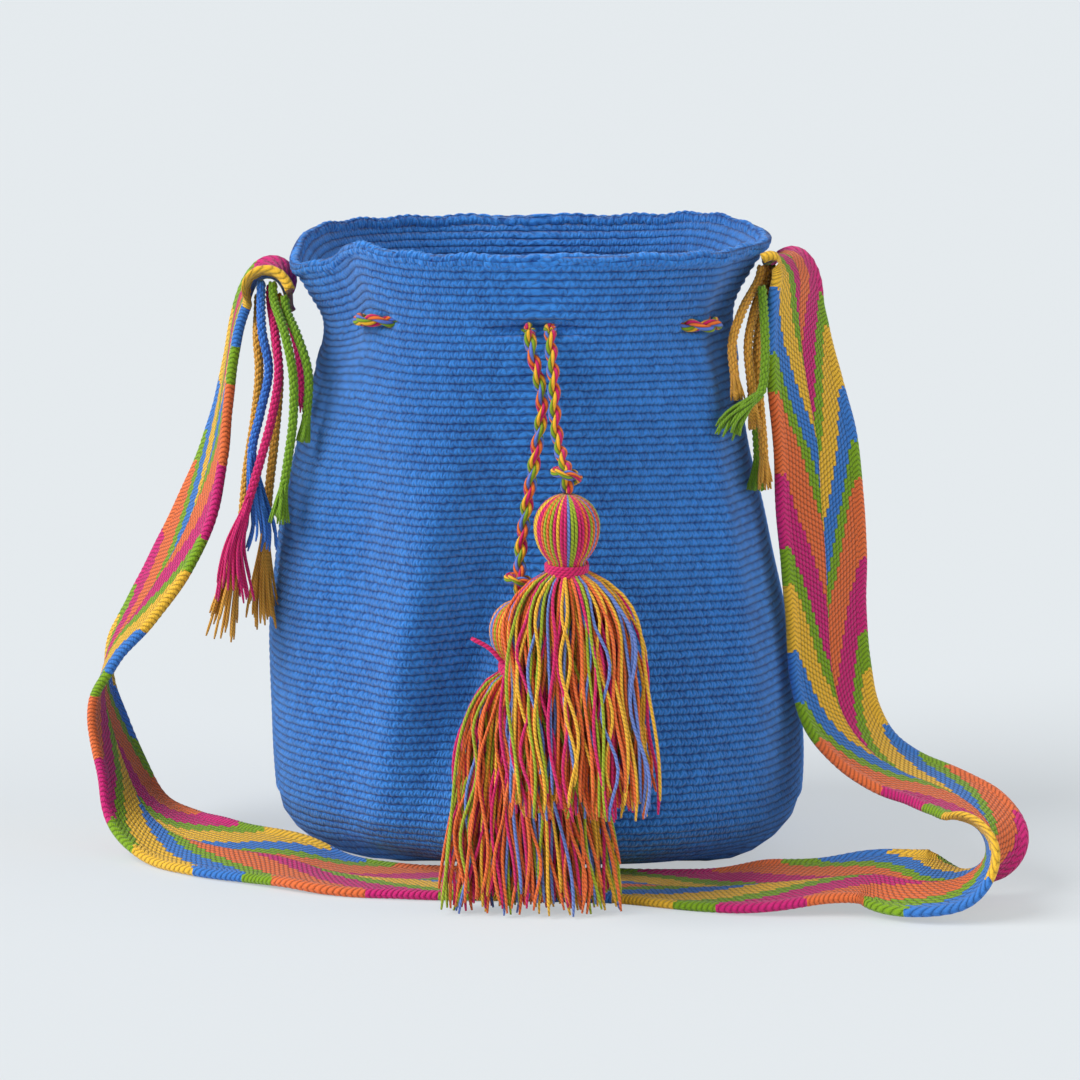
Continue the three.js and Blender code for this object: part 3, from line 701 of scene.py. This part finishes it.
# Yarn tail: one loose pink strand left from tying the lower tassel, lying over its neck.
tail_steps = [
    (-0.022, -0.009, -0.002), (-0.014, -0.011, -0.006), (-0.008, -0.0125, -0.012),
    (-0.001, -0.0132, -0.018), (0.007, -0.013, -0.0205), (0.015, -0.011, -0.023),
]
tail_path = smooth_route([LOWER_HEAD + Vector(step) for step in tail_steps], 0.002)
bm, uv_layer, tag = start_strands()
add_tube(bm, uv_layer, tail_path, 0.0011, 8, 0.0, 0.3, tag, 1)
yarn_tail = finish_piece("lower_tassel_loose_yarn", bm, tassel_yarn)
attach(yarn_tail, "lower_tassel")
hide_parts("lower_tassel_yarn_tail")

# Strap: one long band of thick striped cotton weave, with a round braid worked along both edges.
# Both ends are sewn to the bag's mouth; the middle hangs down the sides and lies across the front.
STRAP_WIDTH = 0.048
STRAP_EDGES = [
    ((-111, -37, 258), (-123, 10, 264)), ((-116, -33, 269), (-129, 14, 273)),
    ((-125, -29, 273), (-136, 18, 272)), ((-133, -26, 267), (-142, 21, 263)),
    ((-139, -25, 255), (-146, 22, 249)), ((-143, -25, 236), (-149, 22, 232)),
    ((-146, -25, 212), (-154, 21, 210)), ((-148, -26, 188), (-162, 19, 186)),
    ((-153, -27, 160), (-174, 16, 160)), ((-163, -28, 138), (-186, 16, 137)),
    ((-180, -27, 115), (-199, 18, 112)), ((-200, -25, 93), (-210, 21, 89)),
    ((-213, -23, 73), (-209, 24, 72)), ((-213, -25, 53), (-202, 22, 54)),
    ((-206, -31, 33), (-195, 14, 37)), ((-195, -43, 13), (-187, 0, 24)),
    ((-180, -61, 4), (-172, -17, 16)), ((-155, -83, 2.5), (-147, -39, 14)),
    ((-124, -98, 2.2), (-119, -53, 13)), ((-95, -113, 2.2), (-91, -67, 5)),
    ((-60, -120, 2.2), (-58, -73, 2.2)), ((-10, -124, 2.2), (-10, -76, 2.2)),
    ((40, -128, 2.2), (45, -81, 2.4)), ((70, -139, 2.2), (79, -93, 6)),
    ((98, -146, 3), (105, -101, 13)), ((128, -147, 8), (131, -100, 13)),
    ((150, -148, 8), (153, -103, 18)), ((170, -159, 4), (173, -116, 22)),
    ((184, -160, 9), (196, -114, 20)), ((193, -154, 20), (210, -110, 24)),
    ((195, -143, 30), (214, -99, 34)), ((188, -126, 37), (207, -83, 42)),
    ((175, -108, 41), (192, -64, 47)), ((156, -92, 44), (176, -50, 52)),
    ((137, -77, 53), (165, -39, 60)), ((123, -64, 67), (159, -33, 74)),
    ((117, -55, 88), (156, -28, 92)), ((115, -52, 115), (154, -24, 117)),
    ((112, -51, 146), (154, -27, 143)), ((109, -51, 172), (152, -29, 170)),
    ((108, -51, 199), (149, -26, 196)), ((105, -51, 224), (143, -21, 219)),
    ((104, -50, 247), (137, -15, 241)), ((105, -48, 264), (134, -9, 258)),
    ((109, -45, 277), (131, -3, 272)), ((104, -43, 285), (124, 1, 283)),
    ((95, -44, 281), (113, 2, 279)),
]
front_edge = [Vector(front) / 1000 for front, back in STRAP_EDGES]
back_edge = [Vector(back) / 1000 for front, back in STRAP_EDGES]
middles = [(front + back) / 2 for front, back in zip(front_edge, back_edge)]
strap_line = smooth_route(middles, 0.0016)


def strap_across(points):
    lengths = [0.0]
    for start, end in zip(middles, middles[1:]):
        lengths.append(lengths[-1] + (end - start).length)
    directions = []
    walked = 0.0
    whole = path_length(points)
    station = 0
    for index, point in enumerate(points):
        if index:
            walked += (point - points[index - 1]).length
        target = walked / whole * lengths[-1]
        while station < len(middles) - 2 and target > lengths[station + 1]:
            station += 1
        share = smooth_step((target - lengths[station]) / (lengths[station + 1] - lengths[station]))
        first = (back_edge[station] - front_edge[station]).normalized()
        second = (back_edge[station + 1] - front_edge[station + 1]).normalized()
        directions.append(first.lerp(second, share))
    return soften(directions, 30)


def soften(vectors, times):
    for _ in range(times):
        softened = vectors[:]
        for index in range(1, len(vectors) - 1):
            softened[index] = vectors[index - 1] * 0.25 + vectors[index] * 0.5 + vectors[index + 1] * 0.25
        vectors = softened
    return vectors


strap_line = soften(strap_line, 12)
strap_directions = strap_across(strap_line)
strap_length = path_length(strap_line)


def half_thickness(distance):
    flat = 0.0013 * smooth_step(distance / 0.002 + 0.15)
    roll = 0.0
    if distance < 0.0058:
        roll = 0.0024 * math.sqrt(max(0.0, 1 - ((distance - 0.0029) / 0.0029) ** 2))
    return max(flat if distance > 0.0002 else 0.0, roll)


ACROSS_STEPS = 30
strap_section = []
for step in range(ACROSS_STEPS + 1):
    strap_section.append((-1 + 2 * step / ACROSS_STEPS, 1.0))
for step in range(ACROSS_STEPS - 1, 0, -1):
    strap_section.append((-1 + 2 * step / ACROSS_STEPS, -1.0))
section_count = len(strap_section)
strap_steps = len(strap_line) - 1
bm = bmesh.new()
uv_layer = bm.loops.layers.uv.new("UVMap")
bmesh.ops.create_grid(bm, x_segments=strap_steps, y_segments=section_count, size=0.5)
for vertex in bm.verts:
    step = round((vertex.co.x + 0.5) * strap_steps)
    corner = round((vertex.co.y + 0.5) * section_count)
    width_share, face_side = strap_section[corner % section_count]
    width_share = math.copysign(1 - (1 - abs(width_share)) ** 1.25, width_share)
    tangent = (strap_line[min(step + 1, strap_steps)] - strap_line[max(step - 1, 0)]).normalized()
    across = strap_directions[step]
    across = (across - tangent * across.dot(tangent)).normalized()
    facing = tangent.cross(across)
    distance = (1 - abs(width_share)) * STRAP_WIDTH / 2
    thick = half_thickness(distance)
    walked = step * strap_length / strap_steps
    if distance < 0.0058:
        lobe = abs(math.sin(math.pi * (walked / 0.0034 + 0.35 * distance / 0.0029)))
        thick *= 0.84 + 0.2 * math.sqrt(lobe)
    else:
        thick += 0.00015 * math.sin(math.pi * walked / 0.0026) * math.sin(math.pi * distance / 0.0018)
    vertex.co = strap_line[step] + across * (width_share * STRAP_WIDTH / 2) + facing * (thick * face_side)
    vertex.co.z = max(vertex.co.z, 0.0003)
    vertex.index = step * 100 + corner
for face in bm.faces:
    corners = [loop.vert.index % 100 for loop in face.loops]
    inner_face = max(corners) <= ACROSS_STEPS
    for loop in face.loops:
        step = loop.vert.index // 100
        corner = loop.vert.index % 100
        width_share = strap_section[corner % section_count][0]
        width_share = math.copysign(1 - (1 - abs(width_share)) ** 1.25, width_share)
        far = 4000 if inner_face else 0
        walked = step * strap_length / strap_steps * 1000
        loop[uv_layer].uv = (far + walked, width_share * STRAP_WIDTH / 2 * 1000)

weave, tree, shader = cotton_material("striped_strap_weave", 0.2)
place = add_node(tree, "ShaderNodeUVMap", uv_map="UVMap").outputs[0]
parts = add_node(tree, "ShaderNodeSeparateXYZ", {0: place})
is_inner = maths(tree, "GREATER_THAN", parts.outputs[0], 2000.0)
along = maths(tree, "MULTIPLY_ADD", is_inner, -4000.0, parts.outputs[0])
sideways = parts.outputs[1]
from_edge = maths(tree, "SUBTRACT", STRAP_WIDTH * 500, maths(tree, "ABSOLUTE", sideways))
is_back = maths(tree, "GREATER_THAN", sideways, 0.0)
brick_row = maths(tree, "FLOOR", maths(tree, "DIVIDE", from_edge, 1.8))
half_step = maths(tree, "MULTIPLY", maths(tree, "MODULO", brick_row, 2.0), 0.5)
brick_along = maths(tree, "ADD", maths(tree, "DIVIDE", along, 2.6), half_step)
brick_middle = maths(tree, "SUBTRACT", maths(tree, "FLOOR", brick_along), half_step)
brick_middle = maths(tree, "MULTIPLY_ADD", brick_middle, 2.6, 1.3)
cell_end = maths(tree, "MINIMUM", brick_middle, maths(tree, "SUBTRACT", strap_length * 1000, brick_middle))
cell_edge = maths(tree, "MULTIPLY", brick_row, 1.8)
inner_edge = maths(tree, "MAXIMUM", maths(tree, "SUBTRACT", cell_edge, 4.4), 0.0)
lean_way = maths(tree, "MULTIPLY_ADD", is_inner, 6.8, -3.4)
slid = maths(tree, "MULTIPLY_ADD", inner_edge, lean_way, cell_end)
slid = maths(tree, "MULTIPLY_ADD", is_back, -46.0, slid)
stripe_share = maths(tree, "FRACT", maths(tree, "DIVIDE", maths(tree, "ADD", slid, 330.0), 165.0))
stripes = add_node(tree, "ShaderNodeValToRGB", {0: stripe_share})
stripes.color_ramp.interpolation = "CONSTANT"
STRIPES = [
    (0.0, "#f3be3a"), (0.20, "#3f7fd0"), (0.35, "#82aa22"),
    (0.45, "#ee7540"), (0.69, "#d42878"), (0.89, "#82aa22"),
]
for index, (start, colour) in enumerate(STRIPES):
    stop = stripes.color_ramp.elements[index] if index < 2 else stripes.color_ramp.elements.new(start)
    stop.position = start
    stop.color = paint(colour)
bead_along = maths(tree, "SUBTRACT", maths(tree, "FRACT", brick_along), 0.5)
bead_across = maths(tree, "SUBTRACT", maths(tree, "FRACT", maths(tree, "DIVIDE", from_edge, 1.8)), 0.5)
bead_lean = maths(tree, "MULTIPLY_ADD", bead_along, 0.35, bead_across)
bead_long = maths(tree, "POWER", maths(tree, "ABSOLUTE", maths(tree, "DIVIDE", bead_along, 0.55)), 2.0)
bead_wide = maths(tree, "POWER", maths(tree, "ABSOLUTE", maths(tree, "DIVIDE", bead_lean, 0.52)), 2.0)
bead = maths(tree, "ADD", bead_long, bead_wide)
bead = maths(tree, "SQRT", maths(tree, "MAXIMUM", maths(tree, "SUBTRACT", 1.0, bead), 0.0))
braid_lean = maths(tree, "ABSOLUTE", maths(tree, "SUBTRACT", from_edge, 2.9))
braid_wave = maths(tree, "MULTIPLY_ADD", braid_lean, 0.34, maths(tree, "DIVIDE", along, 2.4))
braid = maths(tree, "SINE", maths(tree, "MULTIPLY", braid_wave, math.pi))
braid = maths(tree, "SQRT", maths(tree, "ABSOLUTE", braid))
is_edge = maths(tree, "LESS_THAN", from_edge, 5.6)
stitch = add_node(tree, "ShaderNodeMix", {0: is_edge, 2: bead, 3: braid}, data_type="FLOAT").outputs[0]
fuzz = add_node(tree, "ShaderNodeTexNoise", {"Vector": place, "Scale": 2.2, "Detail": 4.0}).outputs[0]
ply = maths(tree, "SINE", maths(tree, "MULTIPLY_ADD", along, 3.1, maths(tree, "MULTIPLY", sideways, 7.0)))
height = maths(tree, "MULTIPLY_ADD", fuzz, 0.4, maths(tree, "MULTIPLY_ADD", ply, 0.08, stitch))
# Painted shade: the colour is darker between the edge braid's ridges and around the woven beads, lighter on
# their tops and where the fuzz stands up.
shade = maths(tree, "MULTIPLY_ADD", stitch, 0.55, 0.36)
shade = maths(tree, "MULTIPLY_ADD", fuzz, 0.3, shade)
grey = add_node(tree, "ShaderNodeCombineColor", {0: shade, 1: shade, 2: shade}).outputs[0]
colour = tint_mix(tree, "MULTIPLY", 1.0, stripes.outputs[0], grey)
tree.links.new(colour, shader.inputs["Base Color"])
relief = add_node(tree, "ShaderNodeBump", {"Strength": 0.8, "Distance": 0.0008, "Height": height})
tree.links.new(relief.outputs[0], shader.inputs["Normal"])
strap = finish_piece("strap_woven_band", bm, weave)
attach(strap, "bag")
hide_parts("strap_band")

# Strap ties: the strap's own yarn ends, twisted into short three-ply cords that hang beside the bag.
# Their cut ends have come untwisted into loose tufts.
TIE_DIAMETER = 0.0046
TIE_COLOURS = {"green": "#7aa428", "pink": "#d8286f", "blue": "#3f7ad2", "gold": "#dca040"}
TIES = {
    "left_tie_green_long": (0.016, [
        (-124.5, -25, 271.3), (-124, -27, 264), (-118, -44, 250), (-114, -51, 232), (-114, -52, 212),
        (-117, -52, 190), (-120, -52, 171), (-121, -52, 160),
    ]),
    "left_tie_green_short": (0.01, [
        (-119, -27, 265), (-118, -30, 259), (-112, -43, 248), (-107, -49, 232), (-108, -50, 212),
        (-110, -50, 198),
    ]),
    "left_tie_pink_short": (0.008, [
        (-119.5, -19, 261.6), (-119, -21, 256), (-114, -32, 247), (-111, -37, 232), (-111, -38, 212),
    ]),
    "left_tie_pink_long": (0.045, [
        (-126, -17, 268.6), (-126, -19, 263), (-123, -36, 249), (-121, -44, 232), (-124, -46, 212),
        (-130, -48, 190), (-136, -50, 170), (-142, -51, 150), (-142, -51, 124),
    ]),
    "left_tie_blue": (0.045, [
        (-130, -23, 271.5), (-130, -25, 265), (-129, -36, 250), (-126, -38, 232), (-130, -40, 212),
        (-134, -42, 194), (-132, -44, 174), (-130, -45, 158), (-132, -45, 146),
    ]),
    "left_tie_gold_long": (0.05, [
        (-132, -13, 263.6), (-132, -15, 258), (-132, -26, 246), (-131, -30, 230), (-133, -31, 210),
        (-137, -35, 184), (-140, -39, 156), (-146, -42, 126), (-150, -42, 104),
    ]),
    "left_tie_gold_short": (0.045, [
        (-123, -9, 263.7), (-123, -11, 258), (-124, -20, 246), (-122, -25, 228), (-124, -29, 200),
        (-127, -32, 174), (-129, -34, 150), (-130, -34, 126), (-129, -34, 107),
    ]),
    "right_tie_gold_front": (0.01, [
        (102.5, -37.5, 280.4), (101.5, -39, 275), (93, -54, 262), (88, -63, 248), (89, -65, 234),
        (91, -66, 220),
    ]),
    "right_tie_gold_second": (0.01, [
        (105, -31.5, 279.5), (104, -33, 273), (98.5, -49, 260), (95.5, -59, 246), (97, -62, 228),
        (99, -62, 206),
    ]),
    "right_tie_gold_third": (0.012, [
        (106.5, -26, 278.8), (106, -28, 272), (102, -43, 258), (100, -52, 242), (101, -56, 222),
        (103, -56, 200), (104, -57, 178),
    ]),
    "right_tie_gold_back": (0.01, [
        (110.8, -14, 277.5), (110, -16, 271), (106, -28, 256), (101, -36, 238), (99, -39, 220),
        (100, -40, 202),
    ]),
    "right_tie_green_front": (0.022, [
        (102.2, -46.6, 272), (102.6, -49.5, 266), (103, -57, 256), (103, -64, 240), (101, -68, 226),
        (95, -71, 221), (88, -73, 214), (84, -74, 205),
    ]),
    "right_tie_green_back": (0.014, [
        (108.5, -20, 278.4), (108, -22, 271), (105, -36, 256), (103, -44, 238), (100, -49, 214),
        (101, -49, 192), (100, -49, 174),
    ]),
}
tie_yarns = {}
for colour_name, code in TIE_COLOURS.items():
    yarn_name = f"{colour_name}_tie_yarn"
    tie_yarns[colour_name] = yarn_material(yarn_name, 3.0, 0.20, 0.0004, lambda tree, twist: paint(code))
for tie_name, (tuft_length, points) in TIES.items():
    picker = random.Random(tie_name)
    colour_name = tie_name.split("_")[2]
    whole_path = smooth_route([Vector(point) / 1000 for point in points], 0.0011)
    tuft_steps = round(tuft_length / 0.0011)
    twisted_path = whole_path[:len(whole_path) - tuft_steps]
    tie = twisted_cord(f"{tie_name}_cord", twisted_path, TIE_DIAMETER, 3, 0.0085, tie_yarns[colour_name])
    bm, uv_layer, tag = start_strands()
    root = whole_path[len(twisted_path) - 6:]
    frames = path_frames(root)
    for number in range(26):
        angle = number * 2.4
        spread = picker.uniform(0.002, 0.0075) * min(1.4, tuft_length / 0.025)
        kink = picker.uniform(-0.002, 0.002)
        route = []
        cut = max(4, round(len(root) * picker.uniform(0.72, 1.0)))
        for index in range(0, cut, 3):
            share = index / len(root)
            normal, binormal = frames[index]
            reach = 0.0012 + spread * share ** 1.3
            spot = root[index] + (normal * math.cos(angle) + binormal * math.sin(angle)) * reach
            spot += normal * kink * math.sin(share * 7 + number)
            route.append(spot)
        if len(route) > 2:
            add_tube(bm, uv_layer, route, 0.0007, 6, 0.0, 0.4, tag, 0)
    tuft = finish_piece(f"{tie_name}_tuft", bm, tie_yarns[colour_name])
    for piece in (tie, tuft):
        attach(piece, "bag")
    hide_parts(tie_name)

# Table and light: a pale, evenly lit table top with one soft light from the upper left.
floor_material, tree, shader = cotton_material("pale_table", 0.0)
shader.inputs["Base Color"].default_value = paint("#e4e9ec")
glow = add_node(tree, "ShaderNodeEmission", {"Color": paint("#e0e5e8"), "Strength": 1.0})
seen = add_node(tree, "ShaderNodeLightPath").outputs["Is Camera Ray"]
blend = add_node(tree, "ShaderNodeMixShader", {0: maths(tree, "MULTIPLY", seen, 0.6)})
tree.links.new(shader.outputs[0], blend.inputs[1])
tree.links.new(glow.outputs[0], blend.inputs[2])
tree.links.new(blend.outputs[0], tree.nodes["Material Output"].inputs["Surface"])
bm = bmesh.new()
bmesh.ops.create_grid(bm, x_segments=2, y_segments=2, size=14)
floor_mesh = bpy.data.meshes.new("table_top")
bm.to_mesh(floor_mesh)
bm.free()
floor_mesh.materials.append(floor_material)
floor = bpy.data.objects.new("table_top", floor_mesh)
bpy.context.scene.collection.objects.link(floor)
sun_data = bpy.data.lights.new("soft_window", "SUN")
sun_data.energy = 3.0
sun_data.angle = math.radians(42)
sun = bpy.data.objects.new("soft_window", sun_data)
sun.rotation_euler = Vector((0.80, 0.26, -0.72)).to_track_quat("-Z", "Y").to_euler()
bpy.context.scene.collection.objects.link(sun)
fill_data = bpy.data.lights.new("right_window", "SUN")
fill_data.energy = 0.9
fill_data.angle = math.radians(40)
fill = bpy.data.objects.new("right_window", fill_data)
fill.rotation_euler = Vector((-0.85, 0.16, -0.40)).to_track_quat("-Z", "Y").to_euler()
bpy.context.scene.collection.objects.link(fill)
world = bpy.data.worlds.new("studio_air")
world.use_nodes = True
world.node_tree.nodes["Background"].inputs["Color"].default_value = (0.94, 0.97, 1.0, 1.0)
world.node_tree.nodes["Background"].inputs["Strength"].default_value = 0.38
bpy.context.scene.world = world
bpy.context.scene.view_settings.view_transform = "Standard"
